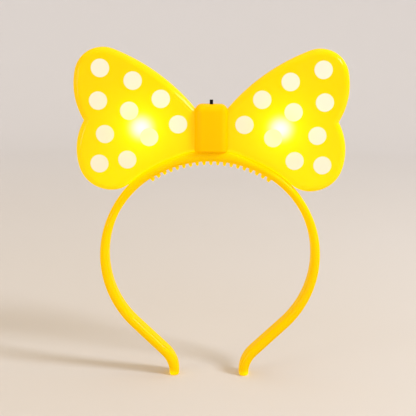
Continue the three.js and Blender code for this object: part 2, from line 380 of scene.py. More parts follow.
@dataclass(frozen=True)
class SeatGlow:
    """Lamp light that spills out along the wings' seat on the band and gathers in the thin comb teeth.

    Attributes:
        centre: Height of the centre of the crown's arc.
        radius: Radius of the seat about that centre.
        pad_rise: How far the crown's pad lifts the seat in the middle.
        pad_reach: Distance from the middle over which the pad fades.
        reach: Distance from the seat over which the light fades.
        strength: Strength at the seat.
        tint: Colour at the seat.
        comb_radius: Radius at which the band starts to brighten towards the teeth.
        comb_reach: Distance over which it comes to its full brightness.
        comb_tint: Colour of the light in the teeth.
    """

    centre: float
    radius: float
    pad_rise: float
    pad_reach: float
    reach: float = 0.8 * MM
    strength: float = 0.3
    tint: Colour = (1.0, 0.95, 0.0)
    comb_radius: float = 68.2 * MM
    comb_reach: float = 2.5 * MM
    comb_tint: Colour = (0.27, 0.2, 0.0)

    def colour(self, sheet: ShaderSheet) -> NodeSocket:
        """The light's colour over a piece.

        Args:
            sheet: The material's sheet.

        Returns:
            The colour.
        """
        pad = self.pad_rise * math.e ** ((abs(sheet.sideways) / self.pad_reach) ** PAD_FALL * -1.0)
        rise = sheet.up - self.centre
        out = sheet.sideways.hypot(rise)
        seat = self.strength * math.e ** (abs(out - self.radius - pad) / -self.reach)
        comb = ((self.comb_radius - out) / self.comb_reach).capped() * (rise / self.comb_radius)
        return sheet.added(sheet.tinted(seat, self.tint), sheet.tinted(comb.over(), self.comb_tint))


@dataclass(frozen=True)
class SeamGlow:
    """Lamp light that leaks out along the parting line of a wing's shells, mostly in the lower lobe.

    Attributes:
        lamp_height: Height of the lamps.
        reach: Distance from the parting line over which the light fades.
        strength: Strength at the parting line of the lower lobe.
        fade_low: Distance below the lamps down to which the light has its full strength.
        fade_high: Distance above the lamps at which it is gone.
        tint: Colour of the light.
    """

    lamp_height: float
    reach: float = 5 * MM
    strength: float = 0.12
    fade_low: float = 20 * MM
    fade_high: float = 25 * MM
    tint: Colour = (0.6, 1.0, 0.0)

    def colour(self, sheet: ShaderSheet) -> NodeSocket:
        """The light's colour over a piece.

        Args:
            sheet: The material's sheet.

        Returns:
            The colour.
        """
        away = sheet.across / self.reach
        low = (self.lamp_height + self.fade_high - sheet.up) / (self.fade_low + self.fade_high)
        return sheet.tinted(self.strength * away.bell() * low.capped().over(), self.tint)


@dataclass(frozen=True)
class MouldedPlastic:
    """Glossy moulded plastic with faint flow marks, uneven gloss, a fine peel and a few scuffs.

    Attributes:
        name: Name of the material.
        colour: Main colour, linear.
        flow_colour: Colour of the flow marks.
        roughness: Mean roughness.
        coat: Strength of the glossy skin.
        coat_roughness: Roughness of that skin.
        specular: Gloss of the plastic under the skin.
        depth_light: Share of light that travels under the surface.
        depth_reach: How far red, green and blue travel there, in parts of depth_scale.
        depth_scale: The longest way in metres.
        flow_grain: Size of the flow marks in metres, as for the other grains.
        flow_stretch: How many times closer the flow marks lie along each axis.
        gloss_grain: Size of the patches of uneven gloss.
        gloss_span: Roughness from the glossiest patch to the dullest.
        peel_grain: Size of the fine peel.
        peel_depth: Depth of the peel in metres.
        scuff_grain: Size of the scuffs.
        scuff_stretch: How many times closer the scuffs lie along each axis.
        scuff_start: Noise value past which there is a scuff.
        scuff_gain: Roughness that a scuff adds for what the noise has past that value.
        glows: Light that comes out of it.
    """

    name: str
    colour: Colour
    flow_colour: Colour
    roughness: float = 0.3
    coat: float = 0.25
    coat_roughness: float = 0.07
    specular: float = 0.0
    depth_light: float = 0.15
    depth_reach: Triple = (1.0, 0.55, 0.05)
    depth_scale: float = 1.5 * MM
    flow_grain: float = 26 * MM
    flow_stretch: Triple = (1.0, 1.0, 0.45)
    gloss_grain: float = 7 * MM
    gloss_span: float = 0.12
    peel_grain: float = 1.1 * MM
    peel_depth: float = 0.012 * MM
    scuff_grain: float = 2.2 * MM
    scuff_stretch: Triple = (0.3, 1.0, 1.6)
    scuff_start: float = 0.62
    scuff_gain: float = 0.5
    glows: tuple[LampGlow | SeatGlow | SeamGlow, ...] = ()

    def material(self) -> Material:
        """Makes the material.

        Returns:
            The material.
        """
        sheet = ShaderSheet(self.name)
        flow = sheet.noise(self.flow_grain, detail=3.0, stretch=self.flow_stretch)
        gloss = sheet.noise(self.gloss_grain, detail=3.0)
        marks = sheet.noise(self.scuff_grain, detail=4.0, stretch=self.scuff_stretch)
        scuff = (marks - self.scuff_start).over() * self.scuff_gain
        sheet.set(
            Base_Color=sheet.mix(flow, self.colour, self.flow_colour),
            Roughness=self.roughness + gloss.spread(self.gloss_span) + scuff,
            Normal=sheet.bump(sheet.noise(self.peel_grain, detail=1.0), self.peel_depth),
            Coat_Weight=self.coat,
            Coat_Roughness=self.coat_roughness,
            Specular_IOR_Level=self.specular,
            Subsurface_Weight=self.depth_light,
            Subsurface_Radius=self.depth_reach,
            Subsurface_Scale=self.depth_scale,
        )
        lights = [glow.colour(sheet) for glow in self.glows]
        if lights:
            sheet.set(Emission_Color=functools.reduce(sheet.added, lights), Emission_Strength=1.0)
        return sheet.material


@dataclass(frozen=True)
class DotInk:
    """Creamy printed film that turns pale yellow where a lamp shines through it.

    Attributes:
        name: Name of the material.
        glow: Light of the lamps behind it.
        colour: Colour far from a lamp.
        lit_colour: Colour close to a lamp.
        lit_gain: How soon that colour comes in with the lamp's halo.
        worn_colour: Colour of worn specks.
        worn_start: Noise value past which a speck is worn.
        worn_gain: How soon the worn colour comes in past that value.
        speck_grain: Size of the specks in metres.
        speck_depth: Their depth.
        roughness: Mean roughness.
        roughness_span: Roughness from the glossiest speck to the dullest.
        specular: Gloss of the film.
        light: Share of the halo that the film lets through.
        light_colour: Colour of that light.
    """

    name: str
    glow: LampGlow
    colour: Colour = (0.97, 0.795, 0.61)
    lit_colour: Colour = (0.97, 0.865, 0.41)
    lit_gain: float = 2.2
    worn_colour: Colour = (0.9, 0.74, 0.42)
    worn_start: float = 0.55
    worn_gain: float = 0.25
    speck_grain: float = 0.9 * MM
    speck_depth: float = 0.01 * MM
    roughness: float = 0.42
    roughness_span: float = 0.2
    specular: float = 0.3
    light: float = 0.3
    light_colour: Colour = (1.0, 0.95, 0.3)

    def material(self) -> Material:
        """Makes the material.

        Returns:
            The material.
        """
        sheet = ShaderSheet(self.name)
        halo = self.glow.halo_at(sheet)
        speck = sheet.noise(self.speck_grain, detail=3.0)
        lit = sheet.mix((halo * self.lit_gain).capped(), self.colour, self.lit_colour)
        wear = (speck - self.worn_start).over() * self.worn_gain
        sheet.set(
            Base_Color=sheet.mix(wear, lit, self.worn_colour),
            Roughness=self.roughness + speck.spread(self.roughness_span),
            Normal=sheet.bump(speck, self.speck_depth),
            Specular_IOR_Level=self.specular,
            Emission_Color=sheet.tinted(halo * self.light, self.light_colour),
            Emission_Strength=1.0,
        )
        return sheet.material


@dataclass(frozen=True)
class LampResin:
    """Clear warm resin of a lamp, lit from inside towards its dome.

    Attributes:
        name: Name of the material.
        glow: The lamp's light.
        colour: Main colour, linear.
        cloud_colour: Colour of faint clouds in it.
        cloud_grain: Size of the clouds in metres.
        roughness: Lowest roughness.
        cloud_roughness: Roughness that the clouds add.
        light_colour: Colour of its own light.
    """

    name: str
    glow: LampGlow
    colour: Colour = (0.95, 0.9, 0.74)
    cloud_colour: Colour = (1.0, 0.97, 0.86)
    cloud_grain: float = 0.8 * MM
    roughness: float = 0.08
    cloud_roughness: float = 0.08
    light_colour: Colour = (1.0, 0.97, 0.88)

    def material(self) -> Material:
        """Makes the material.

        Returns:
            The material.
        """
        sheet = ShaderSheet(self.name)
        cloud = sheet.noise(self.cloud_grain)
        sheet.set(
            Base_Color=sheet.mix(cloud, self.colour, self.cloud_colour),
            Roughness=self.roughness + cloud * self.cloud_roughness,
            Emission_Color=sheet.tinted(self.glow.core_at(sheet).capped(), self.light_colour),
            Emission_Strength=1.0,
        )
        return sheet.material


@dataclass(frozen=True)
class SwitchPlastic:
    """Black textured plastic with finger-worn gloss.

    Attributes:
        name: Name of the material.
        colour: Main colour, linear.
        rubbed_colour: Colour where fingers have rubbed it.
        rubbed_grain: Size of the rubbed patches in metres.
        rubbed_gloss: Roughness that rubbing takes away.
        roughness: Roughness where it isn't rubbed.
        texture_grain: Size of the fine texture.
        texture_depth: Depth of the texture.
        specular: Gloss of the plastic.
    """

    name: str
    colour: Colour = (0.001, 0.001, 0.001)
    rubbed_colour: Colour = (0.003, 0.003, 0.003)
    rubbed_grain: float = 1.4 * MM
    rubbed_gloss: float = 0.25
    roughness: float = 0.62
    texture_grain: float = 0.16 * MM
    texture_depth: float = 0.01 * MM
    specular: float = 0.12

    def material(self) -> Material:
        """Makes the material.

        Returns:
            The material.
        """
        sheet = ShaderSheet(self.name)
        rubbed = sheet.noise(self.rubbed_grain, detail=3.0)
        sheet.set(
            Base_Color=sheet.mix(rubbed, self.colour, self.rubbed_colour),
            Roughness=self.roughness - rubbed * self.rubbed_gloss,
            Normal=sheet.bump(sheet.noise(self.texture_grain), self.texture_depth),
            Specular_IOR_Level=self.specular,
        )
        return sheet.material


@dataclass(frozen=True)
class StudioPaint:
    """Pale matt paint of the studio: a warm floor that turns paler and cooler towards the wall. The paling
    is painted light, which makes up for the lamps' light falling off away from the middle.

    Attributes:
        name: Name of the material.
        floor: Colour of the floor about the middle, linear.
        wall: Colour of the wall.
        near: Distance from the middle at which the floor starts to pale, in metres.
        far: Distance at which it has the wall's colour.
        cloud_grain: Size of faint clouds in the paint.
        cloud_span: How far the clouds shift the paling.
        roughness: Mean roughness.
        roughness_span: Roughness from the glossiest cloud to the dullest.
        specular: Gloss of the paint.
    """

    name: str
    floor: Colour = (0.64, 0.588, 0.54)
    wall: Colour = (0.755, 0.747, 0.775)
    near: float = 0.12
    far: float = 1.15
    cloud_grain: float = 0.35
    cloud_span: float = 0.2
    roughness: float = 0.75
    roughness_span: float = 0.1
    specular: float = 0.15

    def material(self) -> Material:
        """Makes the material.

        Returns:
            The material.
        """
        sheet = ShaderSheet(self.name)
        cloud = sheet.noise(self.cloud_grain)
        away = sheet.sideways.hypot(sheet.across)
        # Painted light: the floor pales towards the wall to make up for the lamps' light falling off away
        # from the middle
        share = (away - self.near) / (self.far - self.near) + cloud.spread(self.cloud_span)
        sheet.set(
            Base_Color=sheet.mix(share.capped().over(), self.floor, self.wall),
            Roughness=self.roughness + cloud.spread(self.roughness_span),
            Specular_IOR_Level=self.specular,
        )
        return sheet.material


class Pen:
    """A point that draws an outline in the upright XZ plane of a mesh, at first towards +X."""

    def __init__(self, bm: BMesh, start: Vector) -> None:
        """Sets the pen down.

        Args:
            bm: The mesh to draw in.
            start: Where the line starts.
        """
        self.bm = bm
        self.first = bm.verts.new(start)
        self.tip = self.first
        self.heading = 0.0

    def turn(self, angle: float) -> None:
        """Turns on the spot, by degrees to the left."""
        self.heading += math.radians(angle)

    def straight(self, length: float) -> None:
        """Draws a straight.

        Args:
            length: Its length in metres.
        """
        self.tip = bmesh.ops.extrude_vert_indiv(self.bm, verts=[self.tip])["verts"][0]
        ahead = Vector((math.cos(self.heading), 0.0, math.sin(self.heading)))
        bmesh.ops.translate(self.bm, verts=[self.tip], vec=ahead * length)

    def arc(self, radius: float, angle: float, steps: int) -> None:
        """Draws an arc that leaves along the pen's heading.

        Args:
            radius: Its radius in metres.
            angle: Its turn in degrees, to the left positive.
            steps: How many chords it has.
        """
        left = Vector((-math.sin(self.heading), 0.0, math.cos(self.heading)))
        drawn = bmesh.ops.spin(
            self.bm,
            geom=[self.tip],
            cent=self.tip.co + left * math.copysign(radius, angle),
            axis=TO_FRONT,
            angle=math.radians(angle),
            steps=steps,
        )
        self.tip = verts_of(drawn["geom_last"])[0]
        self.turn(angle)

    def follow(self, stretches: Iterable["Stretch"], chord: float) -> None:
        """Draws arcs one after the other.

        Args:
            stretches: The arcs.
            chord: The longest chord that draws them, in metres.
        """
        for stretch in stretches:
            self.arc(MM * stretch.radius, stretch.turn, stretch.steps(chord))

    def close(self) -> BMFace:
        """Closes the outline and fills it.

        Returns:
            The face inside it.
        """
        bmesh.ops.contextual_create(self.bm, geom=[self.tip, self.first])
        return filled(self.bm, self.bm.edges)


@dataclass(frozen=True)
class Stretch:
    """One arc of an upright line, or a straight where it has no turn.

    Attributes:
        part: What it is on the object.
        turn: Its turn in degrees, to the left positive.
        radius: Radius of an arc in millimetres.
        run: Length of a straight in millimetres.
        thick: The bar's thickness in millimetres at its two ends.
    """

    part: str
    turn: float = 0.0
    radius: float = 0.0
    run: float = 0.0
    thick: tuple[float, float] = (0.0, 0.0)

    @property
    def length(self) -> float:
        """Its length in metres."""
        return MM * (self.run or self.radius * math.radians(abs(self.turn)))

    def steps(self, chord: float) -> int:
        """How many chords of at most that length, in metres, draw it."""
        return max(2, math.ceil(self.length / chord))


def verts_of(parts: Iterable[Any]) -> list[BMVert]:
    """The vertices among the parts that an operator gave back."""
    return [part for part in parts if isinstance(part, BMVert)]


def edges_at(verts: Iterable[BMVert]) -> set[BMEdge]:
    """The edges that end at any of the vertices."""
    return {edge for vert in verts for edge in vert.link_edges}


def crisp(edges: Iterable[BMEdge]) -> list[BMEdge]:
    """The edges at which the surface bends sharply."""
    return [edge for edge in edges if edge.calc_face_angle(0.0) > CRISP_BEND]


def filled(bm: BMesh, edges: Iterable[BMEdge]) -> BMFace:
    """Fills a ring of edges with one face and gives it back."""
    return bmesh.ops.contextual_create(bm, geom=list(edges))["faces"][0]


def pulled(bm: BMesh, face: BMFace) -> BMFace:
    """Extrudes one face, which stays in place, and gives the new end back."""
    return bmesh.ops.extrude_discrete_faces(bm, faces=[face])["faces"][0]


def facing_front(x: float, y: float, z: float) -> Matrix:
    """Puts what was drawn about the upright axis at a place, with its upper end to the front."""
    return Matrix.Translation((x, y, z)) @ Matrix.Rotation(math.pi / 2, 4, "X")


def lathed(bm: BMesh, sides: int) -> None:
    """Turns a drawn profile fully about the upright axis.

    Args:
        bm: The mesh that has only the profile.
        sides: How many steps the turn has.
    """
    profile = bm.verts[:] + bm.edges[:]
    bmesh.ops.spin(bm, geom=profile, cent=ORIGIN, axis=UPWARDS, angle=math.tau, steps=sides, use_merge=True)
    bmesh.ops.remove_doubles(bm, verts=bm.verts, dist=WELD)


def sliced(bm: BMesh, sideways: float, beyond: bool) -> None:
    """Cuts a mesh across and clears what lies to the left of the cut.

    Args:
        bm: The mesh.
        sideways: Where the cut is.
        beyond: Whether what lies to its right stays.
    """
    bmesh.ops.bisect_plane(
        bm,
        geom=bm.verts[:] + bm.edges[:] + bm.faces[:],
        plane_co=(sideways, 0.0, 0.0),
        plane_no=TO_RIGHT,
        clear_inner=True,
        clear_outer=not beyond,
    )


def linked(name: str, bm: BMesh) -> Object:
    """Turns a mesh into an object of the scene.

    Args:
        name: The object's name.
        bm: Its mesh, which is used up.

    Returns:
        The object.
    """
    mesh = bpy.data.meshes.new(name)
    bm.to_mesh(mesh)
    bm.free()
    item = bpy.data.objects.new(name, mesh)
    bpy.context.scene.collection.objects.link(item)
    return item


def dressed(name: str, bm: BMesh, finish: Material) -> Object:
    """Turns a mesh into a smooth object with a material.

    Args:
        name: The object's name.
        bm: Its mesh, which is used up.
        finish: Its material.

    Returns:
        The object.
    """
    for face in bm.faces:
        face.smooth = True
    item = linked(name, bm)
    item.data.materials.append(finish)
    return item


def eased(piece: Object, width: float, angle: float) -> None:
    """Rounds a piece's sharp edges with a live bevel.

    Args:
        piece: The piece.
        width: Width of the rounding in metres.
        angle: Angle in degrees past which an edge is rounded.
    """
    rim = piece.modifiers.new("rim", "BEVEL")
    rim.width = width
    rim.segments = FEW_SEGMENTS
    rim.limit_method = "ANGLE"
    rim.angle_limit = math.radians(angle)


def placed(
    name: str,
    bm: BMesh,
    finish: Material,
    nodes: Iterable[str],
    body: Body = Body.HEADBAND,
) -> Object:
    """Turns a mesh into a finished piece on its body.

    Args:
        name: The piece's name.
        bm: Its mesh, in place, which is used up.
        finish: Its material.
        nodes: The CAD nodes that it stands for.
        body: The body that it rides on.

    Returns:
        The piece.
    """
    bmesh.ops.recalc_face_normals(bm, faces=bm.faces[:])
    piece = dressed(name, bm, finish)
    piece.data.set_sharp_from_angle(angle=math.radians(SMOOTH_ANGLE))
    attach(piece, body.value)
    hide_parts(*nodes)
    LOG.info("%s: %d faces", name, len(piece.data.polygons))
    return piece


def carved(bm: BMesh, cutter: BMesh) -> BMesh:
    """Cuts one closed mesh out of another.

    Args:
        bm: The mesh to cut, which is used up.
        cutter: What is cut out of it, which is used up.

    Returns:
        The cut mesh.
    """
    objects = []
    for label, shape in (("blank", bm), ("cutter", cutter)):
        bmesh.ops.recalc_face_normals(shape, faces=shape.faces[:])
        objects.append(linked(label, shape))
    blank, tool = objects
    cut = blank.modifiers.new("cut", "BOOLEAN")
    cut.operation = "DIFFERENCE"
    cut.solver = "EXACT"
    cut.object = tool
    result = bmesh.new()
    result.from_object(blank, bpy.context.evaluated_depsgraph_get())
    for item in objects:
        mesh = item.data
        bpy.data.objects.remove(item)
        bpy.data.meshes.remove(mesh)
    return result


def block(bm: BMesh, low: Vector, high: Vector) -> list[BMVert]:
    """Adds a box.

    Args:
        bm: The mesh to add to.
        low: Its lowest corner.
        high: Its highest corner.

    Returns:
        Its corners.
    """
    size = Matrix.Diagonal((*(high - low), 1.0))
    sized = Matrix.Translation((low + high) / 2) @ size
    return bmesh.ops.create_cube(bm, size=1.0, matrix=sized)["verts"]


def rounded(bm: BMesh, edges: Iterable[BMEdge], radius: float, segments: int = FEW_SEGMENTS) -> None:
    """Rounds edges.

    Args:
        bm: The mesh.
        edges: The edges to round.
        radius: Radius in metres.
        segments: Faces across the rounding.
    """
    bmesh.ops.bevel(
        bm, geom=list(edges), offset=radius, segments=segments, profile=0.5, affect="EDGES", material=-1
    )


@dataclass(frozen=True)
class Headband:
    """The toothed band with its hidden post.

    Lengths are in metres, apart from those in the stretches, which are half of its centreline from the
    crown to a tip. A share is of the rounding that would just close an edge or a tip.
    """

    width: float = 12 * MM
    step: float = 2 * MM
    edge_share: float = 0.995
    edge_segments: int = 10
    tip_rounding: float = 1.6 * MM
    tip_share: float = 0.98
    tip_segments: int = 5
    parting_width: float = 0.5 * MM
    parting_rise: float = 0.07 * MM
    teeth: int = 19
    tooth_pitch: float = 4.347 * MM
    tooth_root: float = 2.39 * MM
    tooth_taper: float = 0.6
    tooth_length: float = 2.2 * MM
    tooth_depth: float = 6.4 * MM
    tooth_narrowing: float = 0.94
    tooth_rounding: float = 0.35 * MM
    tooth_segments: int = 3
    pad_rise: float = 1.7 * MM
    pad_reach: float = 20 * MM
    post_half: float = 6.9 * MM
    post_depth: float = 7 * MM
    post_sunk: float = 2 * MM
    post_rounding: float = 0.4 * MM
    stretches: tuple[Stretch, ...] = (
        Stretch("crown", turn=-31, radius=69.4, thick=(5.3, 5.2)),
        Stretch("upper temple", turn=-30, radius=60, thick=(5.2, 5.1)),
        Stretch("lower temple", turn=-75, radius=60, thick=(5.1, 5.8)),
        Stretch("leg", run=26.4, thick=(5.8, 6)),
        Stretch("tip", turn=46, radius=18.85, thick=(6, 6)),
    )

    @property
    def half_length(self) -> float:
        """Length of the centreline from the crown to a tip."""
        return sum(stretch.length for stretch in self.stretches)

    @property
    def crown_thickness(self) -> float:
        """Thickness at the middle of the crown."""
        return MM * self.stretches[0].thick[0]

    @property
    def crown_line(self) -> float:
        """Height of the centreline at the middle of the crown."""
        return self.tip_rounding - self._walk(self.half_length)[0].z

    @property
    def crown_centre(self) -> float:
        """Height of the centre of the crown's arc."""
        return self.crown_line - MM * self.stretches[0].radius

    @property
    def top(self) -> float:
        """Height of the crown's top without its pad."""
        return self.crown_line + self.crown_thickness / 2

    @property
    def tooth_places(self) -> list[float]:
        """Distances of the teeth from the middle of the crown, to the left negative."""
        return [(number - (self.teeth - 1) / 2) * self.tooth_pitch for number in range(self.teeth)]

    def pad_at(self, sideways: float) -> float:
        """How far the pad lifts the crown's top at a distance from the middle."""
        return self.pad_rise * math.exp(-(abs(sideways / self.pad_reach) ** PAD_FALL))

    def _walk(self, along: float) -> tuple[Vector, float, float]:
        """Follows the centreline from the middle of the crown.

        Args:
            along: Distance in metres.

        Returns:
            The place relative to the crown, the heading in radians and the thickness.
        """
        place = Vector()
        heading = 0.0
        thickness = self.crown_thickness
        for stretch in self.stretches:
            done = min(along, stretch.length)
            share = done / stretch.length
            turn = math.radians(stretch.turn) * share
            chord = 2 * MM * stretch.radius * math.sin(abs(turn) / 2) if turn else done
            middle = heading + turn / 2
            place += Vector((math.cos(middle), 0.0, math.sin(middle))) * chord
            heading += turn
            thickness = MM * (stretch.thick[0] + (stretch.thick[1] - stretch.thick[0]) * share)
            along -= done
            if along <= 0:
                break
        return place, heading, thickness

    def section(self, along: float) -> Matrix:
        """Frame of the band's section, with X out of the head, Y across the band and Z along it.

        Args:
            along: Distance from the middle of the crown in metres, to the left negative.

        Returns:
            A matrix that also scales the crown's section to the thickness there, with its pad.
        """
        place, heading, thickness = self._walk(abs(along))
        sign = -1.0 if along < 0 else 1.0
        pad = self.pad_at(place.x) if abs(along) < self.stretches[0].length else 0.0
        out = Vector((-math.sin(heading) * sign, 0.0, math.cos(heading)))
        ahead = Vector((math.cos(heading), 0.0, math.sin(heading) * sign))
        centre = Vector((place.x * sign, 0.0, place.z + self.crown_line)) + out * pad / 2
        scaled = out * (thickness + pad) / self.crown_thickness
        axes = Matrix((scaled, Vector(TO_BACK), ahead)).transposed().to_4x4()
        return Matrix.Translation(centre) @ axes

    def _stops(self) -> list[float]:
        """Distances at which the band has a ring.

        Returns:
            Those of both flanks of each tooth, and even ones further down, from left to right.
        """
        half = self.tooth_root / 2
        flanks = [edge for place in self.tooth_places for edge in (place - half, place + half)]
        rest = self.half_length - flanks[-1]
        count = math.ceil(rest / self.step)
        side = [flanks[-1] + rest * number / count for number in range(1, count + 1)]
        return [-stop for stop in reversed(side)] + flanks + side

    def _ring(self, bm: BMesh) -> list[BMEdge]:
        """Draws the section: round edges, a place for teeth inside and a parting line outside.

        Args:
            bm: The mesh to draw in.

        Returns:
            The ring's edges.
        """
        bmesh.ops.create_grid(bm, x_segments=1, y_segments=1, size=0.5)
        bmesh.ops.scale(bm, vec=(self.crown_thickness, self.width, 1.0), verts=bm.verts)
        bmesh.ops.bevel(
            bm,
            geom=bm.verts[:],
            offset=self.crown_thickness / 2 * self.edge_share,
            segments=self.edge_segments,
            profile=0.5,
            affect="VERTICES",
            material=-1,
        )
        bmesh.ops.delete(bm, geom=bm.faces[:], context="FACES_ONLY")
        flats = sorted(bm.edges, key=lambda edge: edge.calc_length())[-2:]
        flats.sort(key=lambda edge: edge.verts[0].co.x)
        # Two cuts are the sides of the teeth, three are the sides and the ridge of the parting line
        for flat, reach, cuts in zip(flats, (self.tooth_depth, self.parting_width), (2, 3)):
            added = verts_of(bmesh.ops.subdivide_edges(bm, edges=[flat], cuts=cuts)["geom_inner"])
            span = max(vert.co.y for vert in added)
            bmesh.ops.scale(bm, vec=(1.0, reach / 2 / span, 1.0), verts=added)
            ridge = [vert for vert in added if abs(vert.co.y) < WELD]
            bmesh.ops.translate(bm, vec=(self.parting_rise, 0.0, 0.0), verts=ridge)
        return bm.edges[:]

    def sweep(self, bm: BMesh) -> None:
        """Draws the section along the band, closes both tips and rounds them.

        Args:
            bm: The mesh to build in.
        """
        first = self._ring(bm)
        ring = first
        stops = self._stops()
        before = self.section(stops[0])
        bmesh.ops.transform(bm, matrix=before, verts=bm.verts)
        for stop in stops[1:]:
            grown = bmesh.ops.extrude_edge_only(bm, edges=ring)["geom"]
            fresh = set(verts_of(grown))
            edges = [part for part in grown if isinstance(part, BMEdge)]
            ring = [edge for edge in edges if fresh.issuperset(edge.verts)]
            after = self.section(stop)
            bmesh.ops.transform(bm, matrix=after @ before.inverted(), verts=list(fresh))
            before = after
        for end in (first, ring):
            cap = pulled(bm, filled(bm, end))
            bmesh.ops.translate(bm, vec=(0.0, 0.0, -self.tip_rounding), verts=cap.verts)
            rounded(bm, cap.edges, self.tip_rounding * self.tip_share, self.tip_segments)

    def _teeth(self, bm: BMesh) -> None:
        """Draws the comb teeth out of the crown's inner face.

        Args:
            bm: The swept band.
        """
        for place in self.tooth_places:
            frame = self.section(place)
            seat = frame @ Vector((-self.crown_thickness / 2, 0.0, 0.0))
            root = min(bm.faces, key=lambda face: (face.calc_center_median() - seat).length_squared)
            tip = pulled(bm, root)
            inward = frame.col[0].to_3d().normalized() * -self.tooth_length
            bmesh.ops.translate(bm, vec=inward, verts=tip.verts)
            centre = Matrix.Translation(tip.calc_center_median()) @ frame.to_3x3().to_4x4()
            shrink = (1.0, self.tooth_narrowing, self.tooth_taper)
            bmesh.ops.scale(bm, vec=shrink, verts=tip.verts, space=centre.inverted())
            rounded(bm, tip.edges, self.tooth_rounding, self.tooth_segments)

    def build(self, finish: MouldedPlastic) -> None:
        """Builds the band with its teeth and hidden post.

        Args:
            finish: The band's finish.
        """
        bm = bmesh.new()
        self.sweep(bm)
        self._teeth(bm)
        low = Vector((-self.post_half, -self.post_depth / 2, self.top - self.post_sunk))
        high = Vector((self.post_half, self.post_depth / 2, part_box("headband")[1].z))
        rounded(bm, edges_at(block(bm, low, high)), self.post_rounding)
        placed("band_with_teeth", bm, finish.material(), ["headband"])


@dataclass(frozen=True)
class WingShape:
    """Shape that all four shells share: the right wing's outline and how its face is puffed up.

    The seat on the band starts at an angle and has a turn, both in degrees. Its gap and the radius of the
    bend that leads to it are in millimetres, as in the stretches, and other lengths are in metres.
    """

    band: Headband
    root_x: float = 7.2 * MM
    wall: float = 1.5 * MM
    seat_start: float = 7.6
    seat_turn: float = -34.1
    seat_gap: float = 0.08
    seat_land: float = 4.8 * MM
    seat_fade: float = 6 * MM
    lead_radius: float = 8.0
    chord: float = 1.6 * MM
    overrun: float = 9 * MM
    seam: float = 0.06 * MM
    seam_rounding: float = 0.25 * MM
    seam_angle: float = 60.0
    land: float = 2 * MM
    shoulder_width: float = 4 * MM
    shoulder_rise: float = 4 * MM
    shoulder_steps: int = 12
    face_rings: int = 9
    swell: float = 2 * MM
    swell_x: float = 48 * MM
    swell_up: float = 17.4 * MM
    swell_spread: float = 30 * MM
    pinch: float = 0.4
    pinch_reach: float = 22 * MM
    stretches: tuple[Stretch, ...] = (
        Stretch("lower lobe", turn=114.2, radius=19.3),
        Stretch("lower flank", turn=46.2, radius=36),
        Stretch("notch", turn=-59, radius=0.8),
        Stretch("upper flank", turn=42.4, radius=41.3),
        Stretch("upper lobe", turn=98.9, radius=17),
        Stretch("upper edge", turn=29, radius=119.5),
        Stretch("root bend", turn=-50, radius=0.6),
    )

    @property
    def seat_radius(self) -> float:
        """Radius of the wing's edge where it sits on the band, in millimetres."""
        crown = self.band.stretches[0]
        return crown.radius + crown.thick[0] / 2 + self.seat_gap

    @property
    def swell_centre(self) -> Vector:
        """Middle of the swell."""
        return Vector((self.swell_x, 0.0, self.band.top + self.swell_up))

    def outline(self, bm: BMesh) -> BMFace:
        """Draws the right wing's outline, run on past its root into the knot.

        Args:
            bm: The mesh to draw in.

        Returns:
            The face inside it.
        """
        lead = math.radians(self.seat_start)
        seat = MM * self.seat_radius
        bend = MM * self.lead_radius
        root_z = self.band.crown_centre + seat * math.cos(lead) + bend * (1 - math.cos(lead))
        root_end = self.root_x - self.overrun
        pen = Pen(bm, Vector((root_end, 0.0, root_z)))
        pen.straight((seat - bend) * math.sin(lead) - root_end)
        seated = (
            Stretch("root lead", turn=-self.seat_start, radius=self.lead_radius),
            Stretch("seat on the band", turn=self.seat_turn, radius=self.seat_radius),
        )
        pen.follow(seated, self.chord)
        for vert in bm.verts:
            vert.co.z += self.band.pad_at(vert.co.x)
        pen.follow(self.stretches, self.chord)
        ahead = pen.tip.co.x - root_end
        pen.heading = math.pi
        pen.straight(ahead)
        return pen.close()

    def face_at(self, place: Vector) -> float:
        """How far the face stands out from the seam: less towards the knot, more about its swell.

        Args:
            place: A place on the right wing.

        Returns:
            The distance.
        """
        centre = self.swell_centre
        away = math.hypot(place.x - centre.x, place.z - centre.z) / self.swell_spread
        near = place.x / self.pinch_reach
        rise = self.shoulder_rise * (1 - self.pinch * math.exp(-near * near))
        return self.land + rise + self.swell * math.exp(-away * away)

    def land_at(self, place: Vector) -> float:
        """How far the upright rim reaches from the seam: further where the wing sits on the band.

        Args:
            place: A place on the right wing.

        Returns:
            The distance.
        """
        seat = MM * self.seat_radius + self.band.pad_at(place.x)
        away = (math.hypot(place.x, place.z - self.band.crown_centre) - seat) / self.seat_fade
        return self.land + (self.seat_land - self.land) * math.exp(-away * away)

    def skin(self) -> BMesh:
        """Builds the outer skin of the right front shell, open at the seam and at its neck.

        Returns:
            The skin.
        """
        bm = bmesh.new()
        face = self.outline(bm)
        bmesh.ops.translate(bm, vec=(0.0, -self.seam, 0.0), verts=bm.verts)
        cap = pulled(bm, face)
        bmesh.ops.translate(bm, vec=(0.0, self.seam - self.land, 0.0), verts=cap.verts)
        # The shoulder goes up in insets along a quarter of an ellipse
        angles = [math.pi / 2 * step / self.shoulder_steps for step in range(self.shoulder_steps + 1)]
        for start, end in zip(angles, angles[1:]):
            inset = self.shoulder_width * (math.cos(start) - math.cos(end))
            rise = self.shoulder_rise * (math.sin(end) - math.sin(start))
            bmesh.ops.inset_region(
                bm, faces=[cap], thickness=inset, use_even_offset=True, use_boundary=True
            )
            bmesh.ops.translate(bm, vec=(0.0, -rise, 0.0), verts=cap.verts)
        # The face shrinks in rings to the middle of the swell
        about = Matrix.Translation(-self.swell_centre)
        for ring in range(self.face_rings, 1, -1):
            share = (ring - 1) / ring
            cap = pulled(bm, cap)
            bmesh.ops.scale(bm, vec=(share, 1.0, share), verts=cap.verts, space=about)
        bmesh.ops.poke(bm, faces=[cap])
